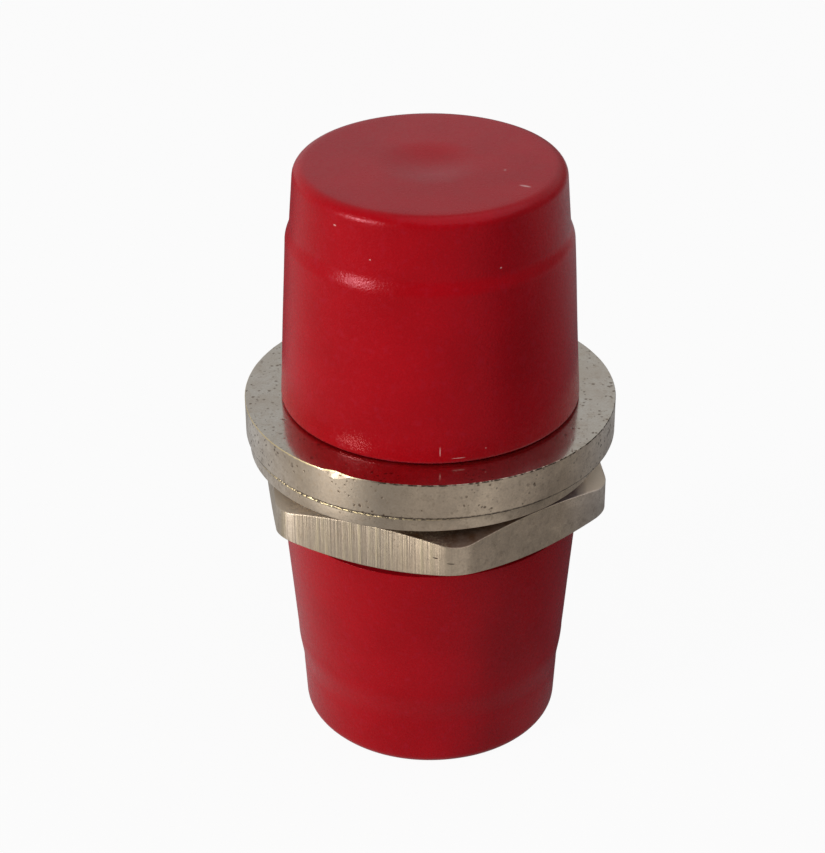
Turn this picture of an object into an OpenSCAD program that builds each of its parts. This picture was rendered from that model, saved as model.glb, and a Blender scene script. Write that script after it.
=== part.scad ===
// Round bulkhead adapter for threaded fibre connectors, with a dust cap on each end.
// It stands on the end of its lower cap: Z is the optical axis, Z = 0 the lower cap's end face.
// All sizes are in millimetres.

/* [Connector interface] */
// Outside diameter of the connector thread
thread_d = 8.0; // [7.6:0.1:9]
// Depth of the thread's form, which the groove at its foot clears
thread_depth = 0.45; // [0.3:0.05:0.55]
// Bore that takes the nose of a connector
port_bore_d = 6.0; // [5.6:0.1:6.4]
// Width of the slot that takes the connector's key
key_slot_w = 2.2; // [1.6:0.1:2.6]
// Depth of the key slot below the barrel's mouth
key_slot_depth = 3.0; // [2:0.1:4]
// Length of the threaded barrel above the flange
upper_barrel_len = 7.8; // [7:0.1:10]
// Chamfer on the outside of each barrel's mouth
barrel_chamfer = 0.4; // [0.1:0.05:0.6]
// Chamfer on the inside of each barrel's mouth
port_chamfer = 0.2; // [0.1:0.05:0.4]
// Width of the groove where a thread ends at the flange
relief_w = 0.8; // [0.4:0.1:1.2]

/* [Flange] */
// How far the flange, and the nut's turned-down corners, stand out beyond the nut's flats
rim_over_flats = 0.75; // [0.5:0.05:0.9]
// Thickness of the flange
flange_t = 1.45; // [1:0.05:3]
// Edge break round both faces of the flange
flange_chamfer = 0.12; // [0.05:0.01:0.3]
// Distance from the axis to the flat along the lower barrel
d_flat = 3.68; // [3.6:0.02:3.8]

/* [Optical centre] */
// Length of the alignment sleeve
sleeve_len = 11.4; // [10:0.1:12]
// Bore of the alignment sleeve, which grips the ferrules
ferrule_d = 2.5; // [1.25:0.05:2.6]
// Outside diameter of the alignment sleeve
sleeve_d = 3.2; // [3:0.05:3.4]
// Width of the slit along the sleeve
sleeve_slit_w = 0.4; // [0.2:0.05:0.6]
// Radial play of the sleeve in its holders
sleeve_clearance = 0.06; // [0.03:0.01:0.15]
// Free length between the sleeve and the upper holder's lip
sleeve_end_play = 0.1; // [0.05:0.05:0.3]
// Outside diameter of each sleeve holder's tube
holder_d = 4.6; // [4.4:0.05:4.8]
// Thickness of each sleeve holder's flange
holder_flange_t = 0.9; // [0.5:0.05:1.5]
// Thickness of the lip that keeps the sleeve in
holder_lip_t = 0.35; // [0.2:0.05:0.8]
// Hole in the lip, which a ferrule passes through
holder_lip_d = 2.9; // [2.7:0.05:3]
// Chamfer round the outer end of each holder's tube
holder_chamfer = 0.15; // [0.05:0.05:0.25]
// Thickness of the wall in the middle of the body that both holders seat on
web_t = 1.6; // [1:0.1:3]
// Radial clearance between a holder's flange and the bore
holder_fit = 0.01; // [0.005:0.005:0.03]

/* [Washer] */
// Outside diameter of the washer
washer_d = 12.9; // [11.5:0.1:12.9]
// Thickness of the washer
washer_t = 0.55; // [0.3:0.05:1]
// Radial play of the washer round the barrel
washer_clearance = 0.2; // [0.1:0.05:0.25]
// Share of that play by which the washer has slipped sideways
washer_slip = 0.9; // [0:0.05:0.95]
// Direction of that slip, from +X towards +Y
washer_slip_dir = 207; // [0:1:360]
// Edge break round the washer
washer_chamfer = 0.06; // [0:0.02:0.15]

/* [Hex nut] */
// Width of the nut across its flats
nut_af = 12.0; // [11.5:0.1:14]
// Thickness of the nut
nut_t = 2.2; // [1.5:0.1:4]
// Slope of the chamfer towards the washer
nut_top_slope = 16; // [10:1:30]
// Slope of the chamfer towards the lower cap
nut_base_slope = 24; // [10:1:30]
// Height of the flats that each chamfer leaves at the middle of a flat, above and below
nut_flat_edge_top = 0.35; // [0.1:0.05:0.45]
// The same height at the lower chamfer
nut_flat_edge_base = 0.16; // [0.1:0.02:0.4]
// Direction of one corner of the nut, from -Y towards +X
nut_corner_dir = 6.8; // [0:0.2:60]
// Radial clearance between the nut's bore and the thread
nut_clearance = 0.04; // [0.02:0.01:0.08]
// Chamfer at both ends of the nut's bore
nut_bore_chamfer = 0.3; // [0.1:0.05:0.45]
// Gap between the nut and the mouth of the lower cap
nut_to_cap = 0.35; // [0.2:0.05:2]

/* [Dust caps] */
// Thickness of a cap's end wall
cap_end_t = 0.95; // [0.6:0.05:1.4]
// Free depth beyond the barrel's mouth in the upper cap
cap_end_gap = 0.2; // [0:0.05:0.6]
// Outside diameter at the cap's mouth
cap_mouth_d = 11.0; // [10.7:0.02:11.6]
// Outside diameter at the top of the tapered wall
cap_waist_d = 10.16; // [10:0.02:10.5]
// Height of the tapered wall above the mouth
cap_taper_h = 6.1; // [5:0.05:6.3]
// Height of the sloping shoulder above the wall
cap_shoulder_h = 0.75; // [0.4:0.05:0.9]
// Outside diameter at the foot of the narrower end
cap_root_d = 9.88; // [9.7:0.02:10]
// Outside diameter of the narrower end at its top
cap_end_d = 9.54; // [9.3:0.02:9.7]
// Radius of the cap's outer end edge
cap_rim_r = 0.35; // [0.1:0.05:0.4]
// Radius of the edge round the cap's mouth
cap_lip_r = 0.2; // [0.1:0.05:0.4]
// Radial clearance between the cap's grip and the thread
cap_clearance = 0.05; // [0.02:0.01:0.09]
// Length of the flared part inside the cap's mouth
cap_flare_h = 3.2; // [2:0.1:5]
// Diameter of the flare at the mouth
cap_flare_d = 9.3; // [8.6:0.1:9.8]
// Diameter of the gate dimple in the cap's end
dimple_d = 3.8; // [1:0.1:4]
// Depth of the gate dimple
dimple_depth = 0.14; // [0.05:0.01:0.3]

/* [Hidden] */
$fn = 96;
eps = 0.01;
overcut = 1;

NICKEL = [0.73, 0.70, 0.64];
BRASS = [0.78, 0.68, 0.46];
ZIRCONIA = [0.93, 0.93, 0.90];
CAP_RED = [0.69, 0.05, 0.08];

thread_r = thread_d / 2;
relief_r = thread_r - thread_depth;
rim_d = nut_af + 2 * rim_over_flats;
cap_depth = upper_barrel_len + cap_end_gap;
cap_len = cap_depth + cap_end_t;
lower_barrel_len = washer_t + nut_t + nut_to_cap + cap_depth;

// Heights of the faces that the pieces seat on
barrel_base_z = cap_end_t;
flange_base_z = barrel_base_z + lower_barrel_len;
flange_top_z = flange_base_z + flange_t;
barrel_top_z = flange_top_z + upper_barrel_len;
washer_base_z = flange_base_z - washer_t;
nut_base_z = washer_base_z - nut_t;
body_len = barrel_top_z - barrel_base_z;
mid_z = barrel_base_z + body_len / 2;

sleeve_r = sleeve_d / 2;
pocket_r = sleeve_r + sleeve_clearance;
holder_len = (sleeve_len + sleeve_end_play) / 2 + holder_lip_t - web_t / 2;

washer_bore_r = thread_r + washer_clearance;
washer_offset = washer_slip * washer_clearance;
nut_bore_r = thread_r + nut_clearance;
nut_top_land_r = nut_af / 2 - nut_flat_edge_top / tan(nut_top_slope);
nut_base_land_r = nut_af / 2 - nut_flat_edge_base / tan(nut_base_slope);

cap_grip_r = thread_r + cap_clearance;
dimple_sphere_r = (pow(dimple_d / 2, 2) + pow(dimple_depth, 2)) / (2 * dimple_depth);

// Points of an arc, from angle a to angle b, both included
function arc(cx, cy, r, a, b, steps = 8) =
    [for (i = [0 : steps]) let (t = a + (b - a) * i / steps) [cx + r * cos(t), cy + r * sin(t)]];

// Ring with chamfered outer edges, standing on Z = 0
module turned_disc(d, h, chamfer) {
    rotate_extrude()
        polygon([[0, 0], [d / 2 - chamfer, 0], [d / 2, chamfer],
                 [d / 2, h - chamfer], [d / 2 - chamfer, h], [0, h]]);
}

// Round bar of one threaded barrel, from its foot at the flange up to its chamfered mouth
module barrel_blank(len) {
    rotate_extrude()
        polygon([[0, -eps], [relief_r, -eps], [relief_r, relief_w],
                 [thread_r - barrel_chamfer / 2, relief_w], [thread_r, relief_w + barrel_chamfer / 2],
                 [thread_r, len - barrel_chamfer], [thread_r - barrel_chamfer, len], [0, len]]);
}

// Bore, mouth chamfer and key slot, cut from a mouth at Z = 0 down to the body's web
module port_cut(depth) {
    port_r = port_bore_d / 2;
    translate([0, 0, -depth]) cylinder(d = port_bore_d, h = depth + overcut);
    translate([0, 0, -port_chamfer])
        cylinder(r1 = port_r, r2 = port_r + port_chamfer + overcut, h = port_chamfer + overcut);
    translate([-key_slot_w / 2, -thread_r - overcut, -key_slot_depth])
        cube([key_slot_w, thread_r + overcut, key_slot_depth + overcut]);
}

// Flange and both barrels, turned from one bar
module adapter_body() {
    port_depth = (body_len - web_t) / 2;
    color(NICKEL)
    difference() {
        union() {
            translate([0, 0, flange_base_z]) turned_disc(rim_d, flange_t, flange_chamfer);
            translate([0, 0, flange_top_z]) barrel_blank(upper_barrel_len);
            translate([0, 0, flange_base_z]) mirror([0, 0, 1]) barrel_blank(lower_barrel_len);
        }
        translate([0, 0, barrel_top_z]) port_cut(port_depth);
        translate([0, 0, barrel_base_z]) mirror([0, 0, 1]) port_cut(port_depth);
        translate([0, 0, mid_z - web_t]) cylinder(r = pocket_r, h = 2 * web_t);
        translate([-thread_r, d_flat, barrel_base_z - overcut])
            cube([thread_d, thread_r, lower_barrel_len + overcut]);
    }
}

module panel_washer() {
    color(NICKEL)
    translate([washer_offset * cos(washer_slip_dir), washer_offset * sin(washer_slip_dir), washer_base_z])
        difference() {
            turned_disc(washer_d, washer_t, washer_chamfer);
            translate([0, 0, -overcut]) cylinder(r = washer_bore_r, h = washer_t + 2 * overcut);
        }
}

// Turned form that leaves a sloping chamfer on each end of the hexagon
module nut_envelope() {
    corner_r = rim_d / 2;
    top_drop = (corner_r - nut_top_land_r) * tan(nut_top_slope);
    base_rise = (corner_r - nut_base_land_r) * tan(nut_base_slope);
    rotate_extrude()
        polygon([[0, 0], [nut_base_land_r, 0], [corner_r, base_rise],
                 [corner_r, nut_t - top_drop], [nut_top_land_r, nut_t], [0, nut_t]]);
}

module hex_nut() {
    color(NICKEL)
    translate([0, 0, nut_base_z])
    difference() {
        intersection() {
            nut_envelope();
            rotate(nut_corner_dir - 90)
                cylinder(r = nut_af / 2 / cos(30), h = nut_t, $fn = 6);
        }
        translate([0, 0, -overcut]) cylinder(r = nut_bore_r, h = nut_t + 2 * overcut);
        for (end = [0, 1])
            translate([0, 0, end * nut_t]) mirror([0, 0, end]) translate([0, 0, -eps])
                cylinder(r1 = nut_bore_r + nut_bore_chamfer + eps, r2 = nut_bore_r,
                         h = nut_bore_chamfer + eps);
    }
}

// Flanged tube that keeps one half of the sleeve, standing on the web at Z = 0
module sleeve_holder() {
    color(BRASS)
    difference() {
        union() {
            cylinder(r = port_bore_d / 2 - holder_fit, h = holder_flange_t);
            turned_disc(holder_d, holder_len, holder_chamfer);
        }
        translate([0, 0, -overcut])
            cylinder(r = pocket_r, h = holder_len - holder_lip_t + overcut);
        cylinder(d = holder_lip_d, h = holder_len + overcut);
    }
}

module upper_sleeve_holder() {
    translate([0, 0, mid_z + web_t / 2]) sleeve_holder();
}

module lower_sleeve_holder() {
    translate([0, 0, mid_z - web_t / 2]) mirror([0, 0, 1]) sleeve_holder();
}

// Split ceramic tube, resting on the lower holder's lip
module alignment_sleeve() {
    color(ZIRCONIA)
    translate([0, 0, mid_z - (sleeve_len + sleeve_end_play) / 2])
        difference() {
            cylinder(r = sleeve_r, h = sleeve_len);
            translate([0, 0, -overcut]) cylinder(d = ferrule_d, h = sleeve_len + 2 * overcut);
            translate([-sleeve_slit_w / 2, 0, -overcut])
                cube([sleeve_slit_w, sleeve_d, sleeve_len + 2 * overcut]);
        }
}

// Outside of a cap, as a half section from the mouth at Y = 0 up to the end
module cap_outline() {
    mouth_r = cap_mouth_d / 2;
    end_r = cap_end_d / 2;
    polygon(concat(
        [[0, 0]],
        arc(mouth_r - cap_lip_r, cap_lip_r, cap_lip_r, -90, 0),
        [[cap_waist_d / 2, cap_taper_h], [cap_root_d / 2, cap_taper_h + cap_shoulder_h]],
        arc(end_r - cap_rim_r, cap_len - cap_rim_r, cap_rim_r, 0, 90),
        [[0, cap_len]]));
}

// Inside of a cap: a flared mouth that leads up to the grip
module cap_hollow() {
    rotate_extrude()
        polygon([[0, -overcut], [cap_flare_d / 2, -overcut], [cap_flare_d / 2, 0],
                 [cap_grip_r, cap_flare_h], [cap_grip_r, cap_depth], [0, cap_depth]]);
}

// Moulded cap, mouth down at Z = 0
module dust_cap() {
    color(CAP_RED)
    difference() {
        rotate_extrude() cap_outline();
        cap_hollow();
        translate([0, 0, cap_len - dimple_depth + dimple_sphere_r]) sphere(r = dimple_sphere_r);
    }
}

module upper_dust_cap() {
    translate([0, 0, flange_top_z]) dust_cap();
}

module lower_dust_cap() {
    translate([0, 0, cap_len]) mirror([0, 0, 1]) dust_cap();
}

adapter_body();
panel_washer();
hex_nut();
upper_sleeve_holder();
lower_sleeve_holder();
alignment_sleeve();
upper_dust_cap();
lower_dust_cap();
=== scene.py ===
import bpy
import bmesh
import math
from mathutils import Matrix, Vector, noise


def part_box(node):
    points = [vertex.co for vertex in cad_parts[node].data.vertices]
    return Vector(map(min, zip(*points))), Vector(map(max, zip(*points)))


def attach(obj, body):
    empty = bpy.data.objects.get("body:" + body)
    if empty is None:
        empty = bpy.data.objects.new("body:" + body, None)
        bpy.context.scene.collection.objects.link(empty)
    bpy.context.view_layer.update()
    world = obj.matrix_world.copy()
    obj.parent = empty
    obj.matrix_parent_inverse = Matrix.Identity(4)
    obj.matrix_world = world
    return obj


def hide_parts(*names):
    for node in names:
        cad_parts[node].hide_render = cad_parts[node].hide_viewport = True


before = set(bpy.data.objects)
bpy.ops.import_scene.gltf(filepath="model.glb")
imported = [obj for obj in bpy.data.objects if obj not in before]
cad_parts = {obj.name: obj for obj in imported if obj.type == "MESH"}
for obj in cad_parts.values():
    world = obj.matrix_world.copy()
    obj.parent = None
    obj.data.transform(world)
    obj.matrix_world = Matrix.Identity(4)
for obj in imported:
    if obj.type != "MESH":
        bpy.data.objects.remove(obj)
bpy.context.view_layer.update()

scene = bpy.context.scene
scene.view_settings.view_transform = "Standard"
mm = 0.001  # shapes are drawn in millimetres and scaled when they are finished


def nodeBox(name):
    low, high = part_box(name)
    return low / mm, high / mm


bodyLow, bodyHigh = nodeBox("adapter_body")
washerLow, washerHigh = nodeBox("panel_washer")
nutLow, nutHigh = nodeBox("hex_nut")
upperCapLow, upperCapHigh = nodeBox("upper_dust_cap")
lowerCapLow, lowerCapHigh = nodeBox("lower_dust_cap")
upperHolderLow, upperHolderHigh = nodeBox("upper_sleeve_holder")
lowerHolderLow, lowerHolderHigh = nodeBox("lower_sleeve_holder")
sleeveLow, sleeveHigh = nodeBox("alignment_sleeve")


# Rounds the corners of an outline. A corner is (r, z) or (r, z, fillet).
def roundedPath(corners, steps=4, closed=False):
    path = []
    last = len(corners) - 1
    for i, corner in enumerate(corners):
        here = Vector(corner[:2])
        fillet = corner[2] if len(corner) > 2 else 0
        if fillet == 0 or (not closed and i in (0, last)):
            path.append(here)
            continue
        back = Vector(corners[i - 1][:2]) - here
        ahead = Vector(corners[0 if i == last else i + 1][:2]) - here
        half = back.angle(ahead) / 2
        reach = min(fillet / math.tan(half), 0.49 * back.length, 0.49 * ahead.length)
        radius = reach * math.tan(half)
        middle = here + (back.normalized() + ahead.normalized()).normalized() * (radius / math.sin(half))
        start = here + back.normalized() * reach - middle
        end = here + ahead.normalized() * reach - middle
        first = math.atan2(start.y, start.x)
        sweep = (math.atan2(end.y, end.x) - first + math.pi) % (2 * math.pi) - math.pi
        for k in range(steps + 1):
            turn = first + sweep * k / steps
            path.append(middle + Vector((math.cos(turn), math.sin(turn))) * radius)
    return path


# Splits long stretches of an outline, so that an uneven surface has points to move.
def refinedPath(path, longest):
    fine = [path[0]]
    for a, b in zip(path, path[1:]):
        parts = max(1, math.ceil((b - a).length / longest))
        fine += [a.lerp(b, k / parts) for k in range(1, parts + 1)]
    return fine


# Sweeps outlines round Z. outlineAt(turn) gives the points of one column, in the same number each time.
def sweptMesh(name, outlineAt, columns, closedOutline, turns=None, place=None):
    bm = bmesh.new()
    angles = turns or [2 * math.pi * k / columns for k in range(columns)]
    poles = {}
    rings = []
    for turn in angles:
        ring = []
        for i, (r, z) in enumerate(outlineAt(turn)):
            spot = Vector((r * math.cos(turn), r * math.sin(turn), z))
            spot = place(spot) if place else spot
            if r < 1e-6:
                if i not in poles:
                    poles[i] = bm.verts.new(spot)
                ring.append(poles[i])
            else:
                ring.append(bm.verts.new(spot))
        rings.append(ring)
    spans = list(zip(rings, rings[1:] + rings[:1])) if turns is None else list(zip(rings, rings[1:]))
    for left, right in spans:
        steps = len(left) if closedOutline else len(left) - 1
        for i in range(steps):
            j = (i + 1) % len(left)
            corners = []
            for vert in (left[i], right[i], right[j], left[j]):
                if vert not in corners:
                    corners.append(vert)
            if len(corners) > 2:
                bm.faces.new(corners)
    if turns is not None and closedOutline:
        bm.faces.new(rings[0])
        bm.faces.new(rings[-1])
    bm.normal_update()
    mesh = bpy.data.meshes.new(name)
    bm.to_mesh(mesh)
    bm.free()
    return mesh


# Welds a mesh shut, turns its faces outwards and scales it into the frame.
def finishedPiece(name, mesh, body, replaced, material, sharpAngle=28):
    bm = bmesh.new()
    bm.from_mesh(mesh)
    bmesh.ops.remove_doubles(bm, verts=bm.verts, dist=0.0005)
    bmesh.ops.dissolve_degenerate(bm, edges=bm.edges, dist=0.0002)
    bmesh.ops.recalc_face_normals(bm, faces=bm.faces)
    openEdges = sum(1 for edge in bm.edges if len(edge.link_faces) != 2)
    volume = bm.calc_volume(signed=True)
    if volume < 0:
        bmesh.ops.reverse_faces(bm, faces=bm.faces)
    bm.to_mesh(mesh)
    faceCount = len(bm.faces)
    bm.free()
    mesh.transform(Matrix.Scale(mm, 4))
    mesh.shade_smooth()
    mesh.set_sharp_from_angle(angle=math.radians(sharpAngle))
    mesh.materials.clear()
    mesh.materials.append(material)
    piece = bpy.data.objects.new(name, mesh)
    scene.collection.objects.link(piece)
    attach(piece, body)
    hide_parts(*replaced)
    print(name, "has", faceCount, "faces,", openEdges, "open edges,", round(abs(volume), 2), "mm3")
    return piece


# A small builder for shader trees, so that each material reads as a list of steps.
class Shader:
    def __init__(self, name):
        self.material = bpy.data.materials.new(name)
        self.material.use_nodes = True
        self.tree = self.material.node_tree
        self.bsdf = self.tree.nodes["Principled BSDF"]
        self.coordinates = self.add("ShaderNodeTexCoord")
        self.place = self.mapped(self.coordinates.outputs["Object"], scale=(1 / mm, 1 / mm, 1 / mm))

    def add(self, kind, **settings):
        node = self.tree.nodes.new(kind)
        for key, value in settings.items():
            setattr(node, key, value)
        return node

    def plug(self, socket, value):
        if isinstance(value, bpy.types.NodeSocket):
            self.tree.links.new(value, socket)
        else:
            socket.default_value = value

    def mapped(self, vector, location=(0, 0, 0), rotation=(0, 0, 0), scale=(1, 1, 1)):
        node = self.add("ShaderNodeMapping")
        self.plug(node.inputs["Vector"], vector)
        node.inputs["Location"].default_value = location
        node.inputs["Rotation"].default_value = rotation
        node.inputs["Scale"].default_value = scale
        return node.outputs["Vector"]

    def math(self, operation, a, b=0.0, c=0.0):
        node = self.add("ShaderNodeMath", operation=operation)
        for socket, value in zip(node.inputs, (a, b, c)):
            self.plug(socket, value)
        return node.outputs[0]

    def spread(self, value, low, high, toLow=0.0, toHigh=1.0):
        node = self.add("ShaderNodeMapRange", clamp=True)
        for socket, given in zip(node.inputs, (value, low, high, toLow, toHigh)):
            self.plug(socket, given)
        return node.outputs["Result"]

    def noise(self, scale, detail=2.0, roughness=0.5, vector=None):
        node = self.add("ShaderNodeTexNoise")
        self.plug(node.inputs["Vector"], vector or self.place)
        node.inputs["Scale"].default_value = scale
        node.inputs["Detail"].default_value = detail
        node.inputs["Roughness"].default_value = roughness
        return node.outputs["Fac"]

    def cells(self, scale, vector=None, feature="F1"):
        node = self.add("ShaderNodeTexVoronoi", feature=feature)
        self.plug(node.inputs["Vector"], vector or self.place)
        node.inputs["Scale"].default_value = scale
        return node.outputs["Distance"]

    def mix(self, share, a, b):
        node = self.add("ShaderNodeMix", data_type="RGBA")
        self.plug(node.inputs["Factor"], share)
        for socket, value in ((node.inputs[6], a), (node.inputs[7], b)):
            self.plug(socket, (*value, 1) if isinstance(value, tuple) else value)
        return node.outputs[2]

    def bump(self, height, distance, strength=1.0, normal=None):
        node = self.add("ShaderNodeBump")
        self.plug(node.inputs["Height"], height)
        node.inputs["Distance"].default_value = distance * mm
        node.inputs["Strength"].default_value = strength
        if normal:
            self.plug(node.inputs["Normal"], normal)
        return node.outputs["Normal"]

    def split(self, vector):
        node = self.add("ShaderNodeSeparateXYZ")
        self.plug(node.inputs[0], vector)
        return node.outputs

    def facing(self):
        return self.split(self.coordinates.outputs["Normal"])

    # The place, pushed about by noise, so that cells drawn there come out irregular
    def warped(self, reach, scale):
        node = self.add("ShaderNodeTexNoise")
        self.plug(node.inputs["Vector"], self.place)
        node.inputs["Scale"].default_value = scale
        push = self.add("ShaderNodeVectorMath", operation="MULTIPLY_ADD")
        self.plug(push.inputs[0], node.outputs["Color"])
        push.inputs[1].default_value = (reach, reach, reach)
        self.plug(push.inputs[2], self.place)
        return push.outputs["Vector"]

    # 1 inside a soft-edged ellipsoid: half sizes along its own axes, turned about Z
    def mark(self, centre, half, turn=0.0):
        cos, sin = math.cos(math.radians(turn)), math.sin(math.radians(turn))
        node = self.add("ShaderNodeVectorMath", operation="SUBTRACT")
        self.plug(node.inputs[0], self.place)
        node.inputs[1].default_value = centre
        x, y, z = self.split(node.outputs["Vector"])
        along = self.math("ADD", self.math("MULTIPLY", x, cos), self.math("MULTIPLY", y, sin))
        across = self.math("SUBTRACT", self.math("MULTIPLY", y, cos), self.math("MULTIPLY", x, sin))
        reach = 0.0
        for value, size in zip((along, across, z), half):
            scaled = self.math("DIVIDE", value, size)
            reach = self.math("MULTIPLY_ADD", scaled, scaled, reach)
        return self.spread(reach, 0.6, 1.3, 1.0, 0.0)

    def mixed(self, share, a, b):
        node = self.add("ShaderNodeMix", data_type="FLOAT")
        for socket, value in zip(node.inputs[:4], (share, None, a, b)):
            if value is not None:
                self.plug(socket, value)
        return node.outputs[0]

    # 1 within a distance of a level, fading to 0 over the soft range
    def band(self, value, level, reach, soft):
        away = self.math("ABSOLUTE", self.math("SUBTRACT", value, level))
        return self.spread(away, reach, reach + soft, 1.0, 0.0)

    def sheen(self, weight, roughness, tint):
        self.bsdf.inputs["Sheen Weight"].default_value = weight
        self.bsdf.inputs["Sheen Roughness"].default_value = roughness
        self.bsdf.inputs["Sheen Tint"].default_value = (*tint, 1)

    def finish(self, colour, roughness, normal=None, metallic=0.0, ior=1.5, level=0.5, anisotropic=0.0):
        self.plug(self.bsdf.inputs["Base Color"], (*colour, 1) if isinstance(colour, tuple) else colour)
        self.plug(self.bsdf.inputs["Roughness"], roughness)
        self.bsdf.inputs["Metallic"].default_value = metallic
        self.bsdf.inputs["IOR"].default_value = ior
        self.bsdf.inputs["Specular IOR Level"].default_value = level
        if anisotropic:
            self.bsdf.inputs["Anisotropic"].default_value = anisotropic
            self.bsdf.inputs["Anisotropic Rotation"].default_value = 0.25
            tangent = self.add("ShaderNodeTangent", direction_type="RADIAL", axis="Z")
            self.plug(self.bsdf.inputs["Tangent"], tangent.outputs["Tangent"])
        if normal:
            self.plug(self.bsdf.inputs["Normal"], normal)
        return self.material


capFinish = {
    "red": (0.455, 0.0022, 0.0070),
    "darkRed": (0.395, 0.0014, 0.0050),
    "dusty": (0.46, 0.016, 0.042),
    "roughness": 0.26,
    "level": 0.30,
    "gleam": (1.0, 0.42, 0.52),  # tint of the shine, seen face on
    "grain": 11.0,  # fine grain of the moulded skin, in spots per millimetre
    "grainDepth": 0.012,
    "endGrain": 0.10,  # share of that depth on the flat end
    "sheen": 0.03,
    "sheenTint": (0.70, 0.45, 1.0),
    "lint": (0.78, 0.42, 0.40),
    # Fluff and nicks on the upper cap: centre, half sizes and turn about Z.
    "marks": [
        ((3.19, -2.09, 22.45), (0.20, 0.055, 0.1), -25),
        ((2.56, -0.73, 22.45), (0.05, 0.03, 0.1), 30),
        ((-3.19, -3.58, 21.74), (0.06, 0.06, 0.03), -40),
        ((-2.03, -4.44, 20.86), (0.025, 0.1, 0.025), 0),
        ((2.32, -4.34, 20.49), (0.03, 0.1, 0.03), 0),
        ((0.29, -5.39, 14.02), (0.014, 0.2, 0.18), 0),
        ((0.93, -5.33, 13.74), (0.24, 0.2, 0.012), 8),
        ((1.87, -5.07, 13.98), (0.02, 0.2, 0.02), 0),
    ],
}


def capPlastic():
    shader = Shader("redCapPlastic")
    f = capFinish
    broad = shader.noise(0.35, 3.0)
    blotch = shader.noise(3.5, 3.0, 0.6)
    fine = shader.noise(f["grain"], 2.0, 0.65)
    colour = shader.mix(shader.spread(broad, 0.35, 0.65), f["darkRed"], f["red"])
    colour = shader.mix(shader.spread(blotch, 0.55, 0.78, 0.0, 0.30), colour, f["dusty"])
    for centre, half, turn in f["marks"]:
        colour = shader.mix(shader.mark(centre, half, turn), colour, f["lint"])
    roughness = shader.spread(blotch, 0.3, 0.7, f["roughness"] - 0.04, f["roughness"] + 0.06)
    flatEnd = shader.spread(shader.math("ABSOLUTE", shader.facing()[2]), 0.6, 0.95, 1.0, f["endGrain"])
    normal = shader.bump(shader.math("MULTIPLY", fine, flatEnd), f["grainDepth"])
    shader.sheen(f["sheen"], 0.45, f["sheenTint"])
    shader.bsdf.inputs["Specular Tint"].default_value = (*f["gleam"], 1)
    return shader.finish(colour, roughness, normal, level=f["level"])


metalFinish = {
    "nickel": (0.58, 0.545, 0.49),
    "side": (0.74, 0.605, 0.455),  # turned sides, warmer than the top, and painted lighter than the plate to make up for the dim floor they mirror
    "sideBright": (1.0, 0.835, 0.63),  # towards +X, painted lighter to make up for the dimmer light on that side
    "sideDimmed": (0.46, 0.39, 0.31),  # the same sides in front on the left, painted darker where the key lamp's highlight falls, to tone it down
    "sideEndsLit": (1.0, 0.95, 0.88),  # the same sides towards -X and +X, painted lighter where they mirror more light
    "tarnish": (0.42, 0.34, 0.26),
    "stain": (0.30, 0.22, 0.14),
    # Painted shadow on the nut's upper chamfer under the flange, and painted light at its ends
    "chamferShadowBrown": (0.135, 0.066, 0.030),
    "chamferLit": (0.70, 0.60, 0.48),
    "chamferShadowViolet": (0.14, 0.10, 0.105),  # the chamfer's painted shadow towards +X
    "streak": (0.58, 0.49, 0.34),
    "pitColour": (0.12, 0.075, 0.045),
    # Dark for dirty marks, and for painted shade in creases and along edges
    "dirtAndShade": (0.06, 0.040, 0.028),
    # Brassy for plating rubbed through, and for painted glints along edges
    "brassAndGlint": (0.92, 0.76, 0.46),
    "roughness": 0.47,
    "topRoughness": 0.11,
    "stretch": 0.7,  # how far highlights on turned and milled sides draw out upright
    # Scratches on the nut's front corner: centre, half sizes and turn about Z.
    "nutMarks": [
        ((0.12, -6.6, 10.42), (0.09, 0.6, 0.025), 0),
        ((0.65, -6.6, 10.28), (0.14, 0.6, 0.020), 0),
    ],
}


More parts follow.
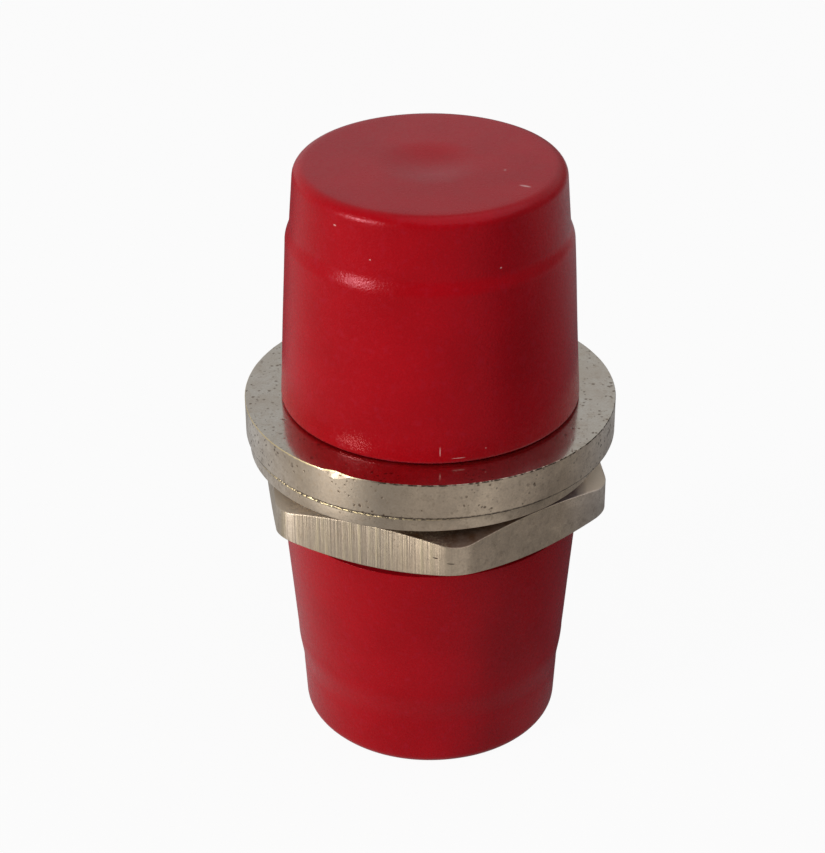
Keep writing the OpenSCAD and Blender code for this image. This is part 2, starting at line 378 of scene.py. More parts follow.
# The base every plated piece shares: colour, roughness, height and the upward-facing share.
def wornPlate(shader, pits):
    f = metalFinish
    broad = shader.noise(0.7, 4.0, 0.6)
    blotch = shader.noise(3.0, 3.0, 0.6)
    fine = shader.noise(9.0, 3.0, 0.6)
    x, y, z = shader.split(shader.place)
    up = shader.spread(shader.facing()[2], 0.5, 0.9)
    paintedDark = shader.band(x, -3.0, 1.2, 1.2)
    # Sides: painted darker in front on the left under the key lamp's highlight, painted lighter towards +X and at both
    # ends
    side = shader.mix(shader.spread(x, 0.4, 2.4), f["side"], f["sideBright"])
    side = shader.mix(paintedDark, side, f["sideDimmed"])
    side = shader.mix(shader.spread(shader.math("ABSOLUTE", x), 4.6, 6.5), side, f["sideEndsLit"])
    colour = shader.mix(up, side, f["nickel"])
    colour = shader.mix(shader.spread(broad, 0.40, 0.72, 0.0, 0.45), colour, f["tarnish"])
    colour = shader.mix(shader.spread(blotch, 0.45, 0.75, 0.0, 0.30), colour, f["tarnish"])
    stain = shader.spread(shader.noise(4.5, 4.0, 0.75), 0.54, 0.68, 0.0, 0.35)
    colour = shader.mix(stain, colour, f["stain"])
    colour = shader.mix(shader.spread(shader.noise(14.0, 1.0), 0.35, 0.65, 0.0, 0.16), colour, f["stain"])
    roughness = shader.spread(fine, 0.25, 0.75, f["roughness"] - 0.06, f["roughness"] + 0.08)
    height = shader.math("MULTIPLY", fine, 0.30)
    # Pits lie in clusters, closest together towards the left and right of the reference view.
    clustered = shader.spread(shader.math("ABSOLUTE", x), 4.4, 5.8, 0.0, 0.10)
    where = shader.spread(shader.math("ADD", shader.noise(0.9, 3.0, 0.6), clustered), 0.46, 0.60)
    size = shader.spread(shader.noise(2.6, 1.0), 0.3, 0.7, 0.12, 0.42)
    hole = shader.spread(shader.cells(5.0, shader.warped(0.12, 6.0)), shader.math("MULTIPLY", size, 0.55), size, 1.0, 0.0)
    pit = shader.math("MULTIPLY", hole, shader.math("MULTIPLY", where, pits))
    colour = shader.mix(pit, colour, f["pitColour"])
    height = shader.math("MULTIPLY_ADD", pit, -0.8, height)
    return colour, roughness, height, up


def platedBody():
    shader = Shader("platedBody")
    f = metalFinish
    colour, roughness, height, up = wornPlate(shader, 0.75)
    roughness = shader.mixed(up, roughness, f["topRoughness"])
    height = shader.math("MULTIPLY", height, shader.spread(up, 0.0, 1.0, 1.0, 0.5))
    x, y, z = shader.split(shader.place)
    speck = shader.noise(7.0, 2.0)
    # Painted shade in the crease under the flange's lower edge, broken up by speckle
    seamShade = shader.band(z, washerHigh.z + 0.05, 0.07, 0.04)
    colour = shader.mix(shader.math("MULTIPLY", seamShade, shader.spread(speck, 0.42, 0.58, 0.5, 1.0)), colour, f["dirtAndShade"])
    # Along the flange's upper edge: a broken dark line of painted shade towards +X, and brassy colour to the left of
    # where the edge is knocked down, partly plating rubbed through and partly a painted glint where the key lamp
    # catches the edge
    depth = shader.math("ADD", shader.math("SUBTRACT", upperCapLow.z, z), shader.math("MULTIPLY", speck, 0.05))
    outer = shader.spread(shader.facing()[2], 0.985, 0.95)
    radius = shader.math("SQRT", shader.math("MULTIPLY_ADD", x, x, shader.math("MULTIPLY", y, y)))
    outer = shader.math("MULTIPLY", outer, shader.spread(radius, 6.4, 6.5))
    rim = shader.math("MULTIPLY", shader.spread(depth, 0.060, 0.085, 1.0, 0.0), outer)
    edgeShade = shader.math("MULTIPLY", shader.spread(x, -2.3, -1.7), shader.spread(speck, 0.46, 0.62, 0.95, 0.15))
    colour = shader.mix(shader.math("MULTIPLY", rim, edgeShade), colour, f["dirtAndShade"])
    colour = shader.mix(shader.math("MULTIPLY", rim, shader.spread(x, -2.3, -2.9)), colour, f["brassAndGlint"])
    normal = shader.bump(height, 0.010)
    return shader.finish(colour, roughness, normal, metallic=1.0, anisotropic=f["stretch"])


def platedWasher():
    shader = Shader("platedWasher")
    f = metalFinish
    colour, roughness, height, up = wornPlate(shader, 0.3)
    z = shader.split(shader.place)[2]
    # On the washer's top edge, tucked under the flange: brassy dots, partly plating rubbed through and partly painted
    # glints, with painted shade between them
    edge = shader.band(z, washerHigh.z, 0.07, 0.03)
    broken = shader.noise(7.0, 2.0, 0.6)
    wearAndGlint = shader.spread(broken, 0.42, 0.55)
    paintedDark = shader.math("MULTIPLY", shader.math("SUBTRACT", 1.0, wearAndGlint), 0.7)
    colour = shader.mix(shader.math("MULTIPLY", edge, paintedDark), colour, f["dirtAndShade"])
    colour = shader.mix(shader.math("MULTIPLY", edge, wearAndGlint), colour, f["brassAndGlint"])
    height = shader.math("MULTIPLY_ADD", shader.math("MULTIPLY", edge, broken), 6.0, height)
    normal = shader.bump(height, 0.010)
    return shader.finish(colour, roughness, normal, metallic=1.0, anisotropic=f["stretch"])


# The nut's flats carry upright machining marks, deepest on the flat towards -X.
def platedNut():
    shader = Shader("platedNut")
    f = metalFinish
    colour, roughness, height, up = wornPlate(shader, 0.15)
    x, y, z = shader.split(shader.place)
    wide = shader.noise(1.0, 2.0, 0.6, vector=shader.mapped(shader.place, scale=(5.0, 5.0, 0.12)))
    thin = shader.noise(1.0, 2.0, 0.7, vector=shader.mapped(shader.place, scale=(15.0, 15.0, 0.25)))
    reach = shader.spread(x, -0.2, 1.0, 1.0, 0.10)
    lines = shader.math("ADD", shader.math("MULTIPLY", wide, 0.5), shader.math("MULTIPLY", thin, 0.5))
    height = shader.math("MULTIPLY_ADD", shader.math("MULTIPLY", lines, reach), 2.2, height)
    dark = shader.math("MULTIPLY", shader.spread(lines, 0.34, 0.50, 0.65, 0.0), reach)
    pale = shader.math("MULTIPLY", shader.spread(lines, 0.50, 0.64, 0.0, 0.9), reach)
    colour = shader.mix(dark, colour, f["tarnish"])
    colour = shader.mix(pale, colour, f["streak"])
    # Painted shade on the upper chamfer: a painted shadow under the flange, brown in front and purplish towards +X,
    # and painted light, paler, at both ends where the key lamp reaches it.
    chamfer = shader.math("MULTIPLY", up, shader.spread(shader.noise(2.2, 3.0, 0.6), 0.25, 0.6, 1.0, 0.75))
    stain = shader.mix(shader.spread(x, 3.0, 4.6), f["chamferShadowBrown"], f["chamferShadowViolet"])
    stain = shader.mix(shader.math("MULTIPLY", pale, 0.6), stain, f["streak"])
    shaded = shader.math("MULTIPLY", shader.spread(x, -4.5, -3.0, 0.05, 1.0), shader.spread(x, 5.1, 5.6, 1.0, 0.1))
    litEnds = shader.math("MAXIMUM", shader.spread(x, -4.4, -3.4, 1.0, 0.0), shader.spread(x, 5.0, 5.6))
    colour = shader.mix(shader.math("MULTIPLY", up, litEnds), colour, f["chamferLit"])
    colour = shader.mix(shader.math("MULTIPLY", chamfer, shaded), colour, stain)
    for centre, half, turn in f["nutMarks"]:
        colour = shader.mix(shader.mark(centre, half, turn), colour, f["dirtAndShade"])
    normal = shader.bump(height, 0.010)
    return shader.finish(colour, roughness, normal, metallic=1.0, anisotropic=f["stretch"])


def holderBrass():
    shader = Shader("turnedBrass")
    rings = shader.noise(1.0, 2.0, vector=shader.mapped(shader.place, scale=(0.6, 0.6, 14.0)))
    colour = shader.mix(shader.noise(1.2, 3.0), (0.66, 0.50, 0.26), (0.74, 0.60, 0.36))
    roughness = shader.spread(rings, 0.3, 0.7, 0.20, 0.34)
    return shader.finish(colour, roughness, shader.bump(rings, 0.006), metallic=1.0)


def sleeveZirconia():
    shader = Shader("groundZirconia")
    grain = shader.noise(12.0, 3.0)
    colour = shader.mix(grain, (0.80, 0.79, 0.75), (0.88, 0.88, 0.85))
    return shader.finish(colour, shader.spread(grain, 0.3, 0.7, 0.18, 0.28), shader.bump(grain, 0.002), ior=1.9)


capMaterial = capPlastic()
bodyMetal = platedBody()
washerMetal = platedWasher()
nutMetal = platedNut()
brassMaterial = holderBrass()
zirconia = sleeveZirconia()
print("materials made")


capShape = {
    "columns": 240,
    "rimR": 0.44,
    "hollow": [(4.65, 0.0), (4.05, 3.2), (4.05, 8.0)],
    "dimpleR": 2.0,
    "dimpleDepth": 0.13,
    "uneven": 0.012,
}

# The two caps have stretched a little differently. The lower one's shoulder hardly shows.
capForms = {
    "upperCap": {
        "mouthR": 5.43, "lipR": 0.16, "waistR": 5.10, "taperH": 6.15, "rootR": 4.92, "shoulderH": 0.72, "endR": 4.76,
    },
    "lowerCap": {
        "mouthR": 5.52, "lipR": 0.02, "waistR": 5.08, "taperH": 5.4, "rootR": 4.90, "shoulderH": 1.7, "endR": 4.79,
    },
}


# Outline of a cap, mouth at z = 0: from the middle of the hollow's end round the mouth to the middle of the outside.
def capOutline(form):
    s = capShape
    length = upperCapHigh.z - upperCapLow.z
    inner = [(0, s["hollow"][2][1]), (*s["hollow"][2], 0.3), (*s["hollow"][1], 2.0), (*s["hollow"][0], 0.12)]
    outer = [(form["mouthR"], 0.0, form["lipR"])]
    for k in range(13):
        share = 0.5 - 0.5 * math.cos(math.pi * k / 12)
        r = form["waistR"] + (form["rootR"] - form["waistR"]) * share
        outer.append((r, form["taperH"] + form["shoulderH"] * k / 12))
    outer.append((form["endR"], length, s["rimR"]))
    path = roundedPath(inner + outer + [(s["dimpleR"] + 0.4, length, 0)], steps=8)
    for k in range(1, 19):
        r = s["dimpleR"] * (1 - k / 18)
        drop = s["dimpleDepth"] * (0.5 + 0.5 * math.cos(math.pi * r / s["dimpleR"]))
        path.append(Vector((r, length - drop)))
    path[-1].x = 0.0
    return refinedPath(path, 0.25)


def makeCap(name, body, node, mouthZ, direction, seed):
    path = capOutline(capForms[name])
    offset = Vector((seed * 7.3, seed * 3.1, seed * 5.7))

    def uneven(spot):
        flat = Vector((spot.x, spot.y, 0))
        if flat.length < 0.5:
            return Vector((spot.x, spot.y, mouthZ + direction * spot.z))
        push = capShape["uneven"] * noise.noise(spot * 0.35 + offset)
        spot = spot + flat.normalized() * push
        return Vector((spot.x, spot.y, mouthZ + direction * spot.z))

    mesh = sweptMesh(name, lambda turn: path, capShape["columns"], False, place=uneven)
    return finishedPiece(name, mesh, body, [node], capMaterial, sharpAngle=60)


upperCap = makeCap("upperCap", "upper_cap", "upper_dust_cap", upperCapLow.z, 1, 1)
lowerCap = makeCap("lowerCap", "lower_cap", "lower_dust_cap", lowerCapHigh.z, -1, 2)


threadShape = {
    "segments": 192,
    "pitch": 0.75,
    "depth": 0.45,
    "majorR": 4.0,
    "rowsPerTurn": 8,
    "reliefW": 0.8,
    "flatY": 3.68,
}


# Node tree for one threaded barrel: a grid wound into a helix whose rows lie along the thread's edges.
def threadTree():
    tree = bpy.data.node_groups.new("threadedBarrel", "GeometryNodeTree")
    face = tree.interface
    face.new_socket(name="Geometry", in_out="INPUT", socket_type="NodeSocketGeometry")
    for label, kind in (
        ("Segments", "NodeSocketInt"),
        ("Rows", "NodeSocketInt"),
        ("Rows per Turn", "NodeSocketInt"),
        ("Pitch", "NodeSocketFloat"),
        ("Depth", "NodeSocketFloat"),
        ("Major Radius", "NodeSocketFloat"),
        ("Low End", "NodeSocketFloat"),
        ("High End", "NodeSocketFloat"),
        ("Flat Y", "NodeSocketFloat"),
        ("Material", "NodeSocketMaterial"),
    ):
        face.new_socket(name=label, in_out="INPUT", socket_type=kind)
    face.new_socket(name="Geometry", in_out="OUTPUT", socket_type="NodeSocketGeometry")
    nodes, links = tree.nodes, tree.links
    given = nodes.new("NodeGroupInput").outputs
    result = nodes.new("NodeGroupOutput")

    def calc(operation, a, b=0.0, clamp=False):
        node = nodes.new("ShaderNodeMath")
        node.operation = operation
        node.use_clamp = clamp
        for socket, value in zip(node.inputs, (a, b)):
            if isinstance(value, bpy.types.NodeSocket):
                links.new(value, socket)
            else:
                socket.default_value = value
        return node.outputs[0]

    grid = nodes.new("GeometryNodeMeshGrid")
    grid.inputs["Size X"].default_value = 1
    grid.inputs["Size Y"].default_value = 1
    links.new(calc("ADD", given["Segments"], 1), grid.inputs["Vertices X"])
    links.new(calc("ADD", given["Rows"], 1), grid.inputs["Vertices Y"])
    position = nodes.new("GeometryNodeInputPosition")
    flat = nodes.new("ShaderNodeSeparateXYZ")
    links.new(position.outputs[0], flat.inputs[0])
    turn = calc("ADD", flat.outputs["X"], 0.5)
    row = calc("ROUND", calc("MULTIPLY", calc("ADD", flat.outputs["Y"], 0.5), given["Rows"]))
    cycle = calc("DIVIDE", row, given["Rows per Turn"])
    climb = calc("MULTIPLY", calc("SUBTRACT", calc("ADD", cycle, turn), 1), given["Pitch"])
    height = calc("ADD", given["Low End"], climb)
    height = calc("MINIMUM", calc("MAXIMUM", height, given["Low End"]), given["High End"])
    wave = calc("FRACT", calc("ADD", cycle, 0.4375))  # the crest's middle is a sixteenth into the cycle
    wave = calc("MULTIPLY", calc("ABSOLUTE", calc("SUBTRACT", wave, 0.5)), 2)
    crest = calc("DIVIDE", calc("SUBTRACT", 0.875, wave), 0.75, clamp=True)
    root = calc("SUBTRACT", given["Major Radius"], given["Depth"])
    threaded = calc("ADD", root, calc("MULTIPLY", crest, given["Depth"]))
    fromEnds = calc("MINIMUM", calc("SUBTRACT", height, given["Low End"]), calc("SUBTRACT", given["High End"], height))
    radius = calc("MINIMUM", threaded, calc("ADD", root, fromEnds))
    angle = calc("MULTIPLY", turn, 2 * math.pi)
    place = nodes.new("ShaderNodeCombineXYZ")
    links.new(calc("MULTIPLY", radius, calc("COSINE", angle)), place.inputs["X"])
    side = calc("MULTIPLY", radius, calc("SINE", angle))
    links.new(calc("MINIMUM", side, given["Flat Y"]), place.inputs["Y"])
    links.new(height, place.inputs["Z"])
    wind = nodes.new("GeometryNodeSetPosition")
    links.new(grid.outputs["Mesh"], wind.inputs["Geometry"])
    links.new(place.outputs[0], wind.inputs["Position"])
    weld = nodes.new("GeometryNodeMergeByDistance")
    weld.inputs["Distance"].default_value = 0.0005
    links.new(wind.outputs["Geometry"], weld.inputs["Geometry"])
    real = nodes.new("GeometryNodeRealizeInstances")
    links.new(weld.outputs["Geometry"], real.inputs["Geometry"])
    paint = nodes.new("GeometryNodeSetMaterial")
    links.new(real.outputs["Geometry"], paint.inputs["Geometry"])
    links.new(given["Material"], paint.inputs["Material"])
    links.new(paint.outputs["Geometry"], result.inputs["Geometry"])
    return tree


def threadedBarrel(tree, lowEnd, highEnd, flatY):
    s = threadShape
    carrier = bpy.data.objects.new("barrelCarrier", bpy.data.meshes.new("barrelCarrier"))
    scene.collection.objects.link(carrier)
    modifier = carrier.modifiers.new("thread", "NODES")
    modifier.node_group = tree
    turns = math.ceil((highEnd - lowEnd) / s["pitch"]) + 1
    values = {
        "Segments": s["segments"],
        "Rows": turns * s["rowsPerTurn"],
        "Rows per Turn": s["rowsPerTurn"],
        "Pitch": s["pitch"],
        "Depth": s["depth"],
        "Major Radius": s["majorR"],
        "Low End": lowEnd,
        "High End": highEnd,
        "Flat Y": flatY,
        "Material": bodyMetal,
    }
    for item in tree.interface.items_tree:
        if item.in_out == "INPUT" and item.name in values:
            modifier[item.identifier] = values[item.name]
    carrier.update_tag()
    bpy.context.view_layer.update()
    graph = bpy.context.evaluated_depsgraph_get()
    mesh = bpy.data.meshes.new_from_object(carrier.evaluated_get(graph))
    bpy.data.objects.remove(carrier)
    return mesh


bodyShape = {
    "boreR": 3.0,
    "boreChamfer": 0.2,
    "webT": 1.6,
    "webHoleR": 1.66,
    "edge": 0.022,  # rounding of the flange's upper edge
    "lowEdge": 0.12,  # bevel round the lower edge
    "knock": (-119.5, 3.6, 0.22),  # where the upper edge is knocked down: direction, half width, height
    "keyW": 2.2,
    "keyDepth": 3.0,
}


def makeBody():
    s, t = bodyShape, threadShape
    rootR = t["majorR"] - t["depth"]
    flangeR = bodyHigh.x
    top, base = upperCapLow.z, washerHigh.z
    middle = (bodyLow.z + bodyHigh.z) / 2
    tree = threadTree()
    upper = threadedBarrel(tree, top + t["reliefW"], bodyHigh.z, 99.0)
    lower = threadedBarrel(tree, bodyLow.z, base - t["reliefW"], t["flatY"])

    # The upper edge is a little ragged, and knocked down in one place.
    def rimOutline(turn):
        at, width, size = s["knock"]
        away = (math.degrees(turn) - at + 180) % 360 - 180
        around = Vector((math.cos(turn), math.sin(turn), 0))
        ragged = 0.010 * noise.noise(around * 60) + 0.008 * noise.noise(around * 21)
        knocked = max(0.0, math.exp(-(away / width) ** 4) * (0.85 + 0.5 * noise.noise(around * 18)))
        edge = max(0.010, s["edge"] + ragged)
        drop = edge + size * knocked
        low = s["lowEdge"] + 0.020 * noise.noise(around * 50 + Vector((5, 5, 5)))
        return roundedPath([
            (rootR, base - t["reliefW"]), (rootR, base, 0.15), (4.8, base), (flangeR - low, base, 0.02),
            (flangeR, base + low, 0.02), (flangeR, top - drop, 0.01), (flangeR - 0.5 * drop, top, 0.01),
            (6.2, top), (5.5, top), (4.8, top), (rootR, top, 0.15), (rootR, top + t["reliefW"]),
        ], steps=4)
    bore = [(rootR, bodyHigh.z), (s["boreR"] + s["boreChamfer"], bodyHigh.z), (s["boreR"], bodyHigh.z - s["boreChamfer"])]
    bore += [(s["boreR"], middle + s["webT"] / 2), (s["webHoleR"], middle + s["webT"] / 2)]
    bore += [(r, 2 * middle - z) for r, z in reversed(bore)]
    bore = refinedPath([Vector(p) for p in bore], 1.0)
    bm = bmesh.new()
    parts = [upper, lower]
    parts.append(sweptMesh("rim", rimOutline, t["segments"], False))
    parts.append(sweptMesh("bore", lambda turn: bore, t["segments"], False))
    for part in parts:
        bm.from_mesh(part)
    bmesh.ops.remove_doubles(bm, verts=bm.verts, dist=0.0005)
    bmesh.ops.recalc_face_normals(bm, faces=bm.faces)
    print("body before the key slots:", sum(1 for e in bm.edges if len(e.link_faces) != 2), "open edges")
    whole = bpy.data.meshes.new("threadedBody")
    bm.to_mesh(whole)
    bm.free()
    carrier = bpy.data.objects.new("bodyCarrier", whole)
    scene.collection.objects.link(carrier)
    cutters = []
    for mouth, direction in ((bodyHigh.z, -1), (bodyLow.z, 1)):
        slotMesh = bmesh.new()
        bmesh.ops.create_cube(slotMesh, size=1)
        length = s["keyDepth"] + 1
        size = Matrix.Diagonal((s["keyW"], 3.0, length, 1))
        place = Matrix.Translation((0, -(s["boreR"] - 0.6 + 1.5), mouth + direction * (s["keyDepth"] - length / 2)))
        slotMesh.transform(place @ size)
        data = bpy.data.meshes.new("keySlot")
        slotMesh.to_mesh(data)
        slotMesh.free()
        cutter = bpy.data.objects.new("keySlot", data)
        scene.collection.objects.link(cutter)
        cutters.append(cutter)
        cut = carrier.modifiers.new("keySlot", "BOOLEAN")
        cut.operation = "DIFFERENCE"
        cut.solver = "EXACT"
        cut.object = cutter
    bpy.context.view_layer.update()
    graph = bpy.context.evaluated_depsgraph_get()
    mesh = bpy.data.meshes.new_from_object(carrier.evaluated_get(graph))
    for item in [carrier, *cutters]:
        bpy.data.objects.remove(item)
    return finishedPiece("threadedBody", mesh, "adapter", ["adapter_body"], bodyMetal)


adapterBody = makeBody()


washerShape = {"boreR": 4.2, "edge": 0.06, "segments": 240}


def makeWasher():
    s = washerShape
    centre = (washerLow + washerHigh) / 2
    outerR = (washerHigh.x - washerLow.x) / 2
    low, high = washerLow.z, washerHigh.z
    path = roundedPath([
        (s["boreR"], low, s["edge"]), (outerR, low, s["edge"]),
        (outerR, high, s["edge"]), (s["boreR"], high, s["edge"]),
    ], closed=True)
    shift = Vector((centre.x, centre.y, 0))
    mesh = sweptMesh("washer", lambda turn: path, s["segments"], True, place=lambda spot: spot + shift)
    return finishedPiece("washer", mesh, "washer", ["panel_washer"], washerMetal)


washer = makeWasher()


nutShape = {
    "columns": 720,
    "acrossFlats": 12.0,
    "cornerFillet": 1.15,
    "cornerDir": 7.8,  # degrees from -Y towards +X
    "topSlope": 16,
    "baseSlope": 24,
    "topFlatEdge": 0.35,
    "baseFlatEdge": 0.16,
    "boreR": 4.04,
    "boreChamfer": 0.3,
    "edge": 0.05,
}


def makeNut():
    s = nutShape
    apothem = s["acrossFlats"] / 2
    topRun, baseRun = math.tan(math.radians(s["topSlope"])), math.tan(math.radians(s["baseSlope"]))
    topLand = apothem - s["topFlatEdge"] / topRun
    baseLand = apothem - s["baseFlatEdge"] / baseRun
    corner = math.radians(s["cornerDir"] - 90)
    low, high = nutLow.z, nutHigh.z

    filletAt = (apothem - s["cornerFillet"]) / math.cos(math.pi / 6)
    flatHalf = math.atan2(math.tan(math.pi / 6) * (apothem - s["cornerFillet"]), apothem)

    # Distance to the side of a hexagon whose corners are rounded
    def sideAt(fromFlat):
        if abs(fromFlat) <= flatHalf:
            return apothem / math.cos(fromFlat)
        fromCorner = math.pi / 6 - abs(fromFlat)
        across = filletAt * math.sin(fromCorner)
        return filletAt * math.cos(fromCorner) + math.sqrt(s["cornerFillet"] ** 2 - across ** 2)

    def outline(turn):
        fromFlat = (turn - corner) % (math.pi / 3) - math.pi / 6
        r = sideAt(fromFlat)
        topZ = high - (r - topLand) * topRun
        baseZ = low + (r - baseLand) * baseRun
        corners = [
            (s["boreR"], low + s["boreChamfer"], 0.02), (s["boreR"] + s["boreChamfer"], low, s["edge"]),
            (baseLand, low, 0.3), (r, baseZ, s["edge"]), (r, topZ, s["edge"]), (topLand, high, 0.3),
            (s["boreR"] + s["boreChamfer"], high, s["edge"]), (s["boreR"], high - s["boreChamfer"], 0.02),
        ]
        return roundedPath(corners, steps=3, closed=True)

    mesh = sweptMesh("nut", outline, s["columns"], True)
    return finishedPiece("hexNut", mesh, "nut", ["hex_nut"], nutMetal)


hexNut = makeNut()


holderShape = {"flangeR": 2.99, "flangeT": 0.9, "tubeR": 2.3, "pocketR": 1.66, "lipR": 1.45, "lipT": 0.35, "segments": 128}


def makeHolder(name, node, seatZ, endZ):
    s = holderShape
    up = 1 if endZ > seatZ else -1
    corners = [
        (s["pocketR"], seatZ, 0.03), (s["flangeR"], seatZ, 0.03), (s["flangeR"], seatZ + up * s["flangeT"], 0.05),
        (s["tubeR"], seatZ + up * s["flangeT"], 0.05), (s["tubeR"], endZ, 0.15), (s["lipR"], endZ, 0.08),
        (s["lipR"], endZ - up * s["lipT"], 0.02), (s["pocketR"], endZ - up * s["lipT"], 0.02),
    ]
    path = roundedPath(corners, closed=True)
    mesh = sweptMesh(name, lambda turn: path, s["segments"], True)
    return finishedPiece(name, mesh, "adapter", [node], brassMaterial)


upperHolder = makeHolder("upperHolder", "upper_sleeve_holder", upperHolderLow.z, upperHolderHigh.z)
lowerHolder = makeHolder("lowerHolder", "lower_sleeve_holder", lowerHolderHigh.z, lowerHolderLow.z)


sleeveShape = {"boreR": 1.25, "outerR": 1.6, "slitW": 0.4, "edge": 0.05, "segments": 96}


def makeSleeve():
    s = sleeveShape
    low, high = sleeveLow.z, sleeveHigh.z
    path = roundedPath([
        (s["boreR"], low, s["edge"]), (s["outerR"], low, s["edge"]),
        (s["outerR"], high, s["edge"]), (s["boreR"], high, s["edge"]),
    ], closed=True)
    half = math.asin(s["slitW"] / 2 / ((s["boreR"] + s["outerR"]) / 2))
    start = math.pi / 2 + half
    sweep = 2 * math.pi - 2 * half
    turns = [start + sweep * k / s["segments"] for k in range(s["segments"] + 1)]
    mesh = sweptMesh("sleeve", lambda turn: path, 0, True, turns=turns)
    return finishedPiece("splitSleeve", mesh, "adapter", ["alignment_sleeve"], zirconia)


splitSleeve = makeSleeve()
print("pieces made")


stageLook = {
    "floorSize": 3.0,
    "floorColour": (0.58, 0.57, 0.57),
    "floorWhite": 0.95,  # share of plain white in the floor that the camera sees
    "floorGleam": 0.85,  # share of a painted shade in the floor that metal and plastic mirror, lit and shadowed as below
    "gleamLit": 0.42,  # that shade in front and to the left, painted lit
    "gleamBeyond": 0.48,  # the same further behind on the right
    "gleamFar": 0.4,  # share of it that is left far off
    "gleamShade": 0.05,  # and close behind on the right: a painted shadow of the object
    "sky": (0.80, 0.88, 1.0),
    "skyStrength": 0.10,
    "backdrop": 0.74,  # how bright the backdrop is in mirror images, behind the object
    "room": 0.24,  # and in front of it
    "dimCorner": 0.3,  # share of the backdrop's light that is left low down in its right corner
}


def scaledSum(tree, a, shareA, b, shareB):
    node = tree.nodes.new("ShaderNodeMath")
    node.operation = "MULTIPLY"
    tree.links.new(a, node.inputs[0])
    node.inputs[1].default_value = shareA
    total = tree.nodes.new("ShaderNodeMath")
    total.operation = "MULTIPLY_ADD"
    tree.links.new(b, total.inputs[0])
    total.inputs[1].default_value = shareB
    tree.links.new(node.outputs[0], total.inputs[2])
    return total.outputs[0]


def mirrorRays(tree, path):
    shiny = tree.nodes.new("ShaderNodeMath")
    shiny.operation = "MAXIMUM"
    tree.links.new(path.outputs["Is Glossy Ray"], shiny.inputs[0])
    tree.links.new(path.outputs["Is Transmission Ray"], shiny.inputs[1])
    return shiny.outputs[0]


def makeFloor():
    look = stageLook
    size = look["floorSize"]
    mesh = bpy.data.meshes.new("floor")
    mesh.from_pydata([(-size, -size, 0), (size, -size, 0), (size, size, 0), (-size, size, 0)], [], [(0, 1, 2, 3)])
    floor = bpy.data.objects.new("floor", mesh)
    scene.collection.objects.link(floor)
    material = bpy.data.materials.new("paleFloor")
    material.use_nodes = True
    tree = material.node_tree
    bsdf = tree.nodes["Principled BSDF"]
    bsdf.inputs["Base Color"].default_value = (*look["floorColour"], 1)
    bsdf.inputs["Roughness"].default_value = 0.9
    bsdf.inputs["Specular IOR Level"].default_value = 0.1
    white = tree.nodes.new("ShaderNodeEmission")
    path = tree.nodes.new("ShaderNodeLightPath")
    mirrored = mirrorRays(tree, path)
    share = scaledSum(tree, path.outputs["Is Camera Ray"], look["floorWhite"], mirrored, look["floorGleam"])
    place = tree.nodes.new("ShaderNodeTexCoord")
    corner = tree.nodes.new("ShaderNodeVectorMath")
    corner.operation = "DOT_PRODUCT"
    tree.links.new(place.outputs["Object"], corner.inputs[0])
    corner.inputs[1].default_value = (1 / mm, 1 / mm, 0)
    # Painted light and painted shadow in the floor as mirrors see it: lit in front and to the left, a painted shadow
    # of the object close behind on the right, lighter again further off and fading far away
    shade = tree.nodes.new("ShaderNodeMapRange")
    tree.links.new(corner.outputs["Value"], shade.inputs["Value"])
    for name, value in (("From Min", -5), ("From Max", 8), ("To Min", look["gleamLit"]), ("To Max", look["gleamShade"])):
        shade.inputs[name].default_value = value
    beyond = tree.nodes.new("ShaderNodeMapRange")
    tree.links.new(corner.outputs["Value"], beyond.inputs["Value"])
    for name, value in (("From Min", 30), ("From Max", 90), ("To Min", 0.0), ("To Max", look["gleamBeyond"])):
        beyond.inputs[name].default_value = value
    fading = tree.nodes.new("ShaderNodeMapRange")
    tree.links.new(corner.outputs["Value"], fading.inputs["Value"])
    for name, value in (("From Min", 110), ("From Max", 260), ("To Min", 1.0), ("To Max", look["gleamFar"])):
        fading.inputs[name].default_value = value
    distant = tree.nodes.new("ShaderNodeMath")
    distant.operation = "MULTIPLY"
    tree.links.new(beyond.outputs["Result"], distant.inputs[0])
    tree.links.new(fading.outputs["Result"], distant.inputs[1])
    gleam = tree.nodes.new("ShaderNodeMath")
    gleam.operation = "MAXIMUM"
    tree.links.new(shade.outputs["Result"], gleam.inputs[0])
    tree.links.new(distant.outputs[0], gleam.inputs[1])
    strength = tree.nodes.new("ShaderNodeMix")
    tree.links.new(path.outputs["Is Camera Ray"], strength.inputs[0])
    tree.links.new(gleam.outputs[0], strength.inputs[2])
    strength.inputs[3].default_value = 1.0
    tree.links.new(strength.outputs[0], white.inputs["Strength"])
    blend = tree.nodes.new("ShaderNodeMixShader")
    tree.links.new(share, blend.inputs[0])
    tree.links.new(bsdf.outputs[0], blend.inputs[1])
    tree.links.new(white.outputs[0], blend.inputs[2])
    tree.links.new(blend.outputs[0], tree.nodes["Material Output"].inputs["Surface"])
    mesh.materials.append(material)


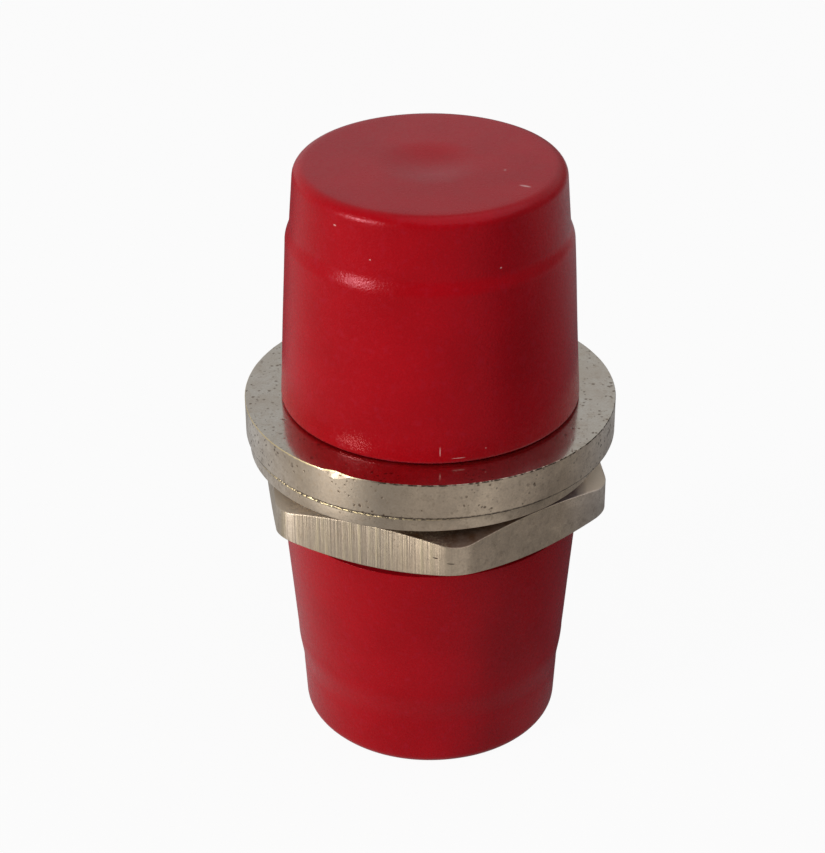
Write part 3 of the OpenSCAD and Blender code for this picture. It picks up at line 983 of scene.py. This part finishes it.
# White behind everything. In mirror images the backdrop is white behind the object and dims towards the front.
def makeWorld():
    look = stageLook
    world = bpy.data.worlds.new("studio")
    scene.world = world
    world.use_nodes = True
    tree = world.node_tree
    nodes, links = tree.nodes, tree.links
    nodes.clear()
    soft = nodes.new("ShaderNodeBackground")
    soft.inputs["Color"].default_value = (*look["sky"], 1)
    soft.inputs["Strength"].default_value = look["skyStrength"]
    direction = nodes.new("ShaderNodeTexCoord")
    axes = nodes.new("ShaderNodeSeparateXYZ")
    links.new(direction.outputs["Generated"], axes.inputs[0])
    depth = nodes.new("ShaderNodeMapRange")
    links.new(axes.outputs["Y"], depth.inputs["Value"])
    for name, value in (("From Min", -0.3), ("From Max", 0.5), ("To Min", look["room"]), ("To Max", look["backdrop"])):
        depth.inputs[name].default_value = value
    corner = nodes.new("ShaderNodeVectorMath")
    corner.operation = "DOT_PRODUCT"
    links.new(direction.outputs["Generated"], corner.inputs[0])
    corner.inputs[1].default_value = (0.707, 0.707, 0)
    side = nodes.new("ShaderNodeMapRange")
    links.new(corner.outputs["Value"], side.inputs["Value"])
    for name, value in (("From Min", 0.6), ("From Max", 0.9), ("To Min", 1.0), ("To Max", look["dimCorner"])):
        side.inputs[name].default_value = value
    height = nodes.new("ShaderNodeMapRange")
    links.new(axes.outputs["Z"], height.inputs["Value"])
    for name, value in (("From Min", 0.12), ("From Max", 0.4), ("To Min", 0.0), ("To Max", 1.0)):
        height.inputs[name].default_value = value
    share = nodes.new("ShaderNodeMath")
    share.operation = "MAXIMUM"
    links.new(side.outputs["Result"], share.inputs[0])
    links.new(height.outputs["Result"], share.inputs[1])
    dimmed = nodes.new("ShaderNodeMath")
    dimmed.operation = "MULTIPLY"
    links.new(depth.outputs["Result"], dimmed.inputs[0])
    links.new(share.outputs[0], dimmed.inputs[1])
    backdrop = nodes.new("ShaderNodeBackground")
    links.new(dimmed.outputs[0], backdrop.inputs["Strength"])
    white = nodes.new("ShaderNodeBackground")
    white.inputs["Color"].default_value = (1, 1, 1, 1)
    path = nodes.new("ShaderNodeLightPath")
    mirrored = nodes.new("ShaderNodeMixShader")
    links.new(mirrorRays(tree, path), mirrored.inputs[0])
    links.new(soft.outputs[0], mirrored.inputs[1])
    links.new(backdrop.outputs[0], mirrored.inputs[2])
    seen = nodes.new("ShaderNodeMixShader")
    links.new(path.outputs["Is Camera Ray"], seen.inputs[0])
    links.new(mirrored.outputs[0], seen.inputs[1])
    links.new(white.outputs[0], seen.inputs[2])
    out = nodes.new("ShaderNodeOutputWorld")
    links.new(seen.outputs[0], out.inputs["Surface"])


# Lamps are placed by where they stand seen from the object: azimuth from -Y towards -X, and height, in degrees.
lamps = {
    "keyLight": {"azimuth": 58, "height": 16, "distance": 0.35, "size": 0.09, "power": 0.83, "colour": (1.0, 0.97, 0.93)},
    "skyLight": {"azimuth": -56, "height": 66, "distance": 0.28, "size": 0.42, "power": 0.40, "colour": (1.0, 0.92, 0.98)},
}


def makeLamps():
    middle = Vector((0, 0, bodyHigh.z / 2)) * mm
    for name, look in lamps.items():
        light = bpy.data.lights.new(name, "AREA")
        light.shape = "DISK"
        light.size = look["size"]
        light.energy = look["power"]
        light.color = look["colour"]
        lamp = bpy.data.objects.new(name, light)
        scene.collection.objects.link(lamp)
        azimuth, height = math.radians(look["azimuth"]), math.radians(look["height"])
        aim = Vector((-math.cos(height) * math.sin(azimuth), -math.cos(height) * math.cos(azimuth), math.sin(height)))
        lamp.location = middle + aim * look["distance"]
        lamp.rotation_euler = aim.to_track_quat("Z", "Y").to_euler()


# The camera of the reference view: where it stands, how far it looks down and how it leans.
cameraView = {
    "place": (-0.650, -71.58, 53.20),
    "down": 29.97,
    "lean": -0.2975,
    "lens": 94.72,
}


def makeCamera():
    data = bpy.data.cameras.new("camera")
    data.sensor_width = 36
    data.lens = cameraView["lens"]
    data.clip_start = 0.001
    data.clip_end = 20
    camera = bpy.data.objects.new("camera", data)
    scene.collection.objects.link(camera)
    down, lean = math.radians(cameraView["down"]), math.radians(cameraView["lean"])
    ahead = Vector((0, math.cos(down), -math.sin(down)))
    up = Vector((0, math.sin(down), math.cos(down)))
    right = Vector((1, 0, 0))
    leanRight = right * math.cos(lean) + up * math.sin(lean)
    leanUp = up * math.cos(lean) - right * math.sin(lean)
    turned = Matrix((leanRight, leanUp, -ahead)).transposed().to_4x4()
    camera.matrix_world = Matrix.Translation(Vector(cameraView["place"]) * mm) @ turned
    scene.camera = camera


makeFloor()
makeWorld()
makeLamps()
makeCamera()
print("stage, lamps and camera made")
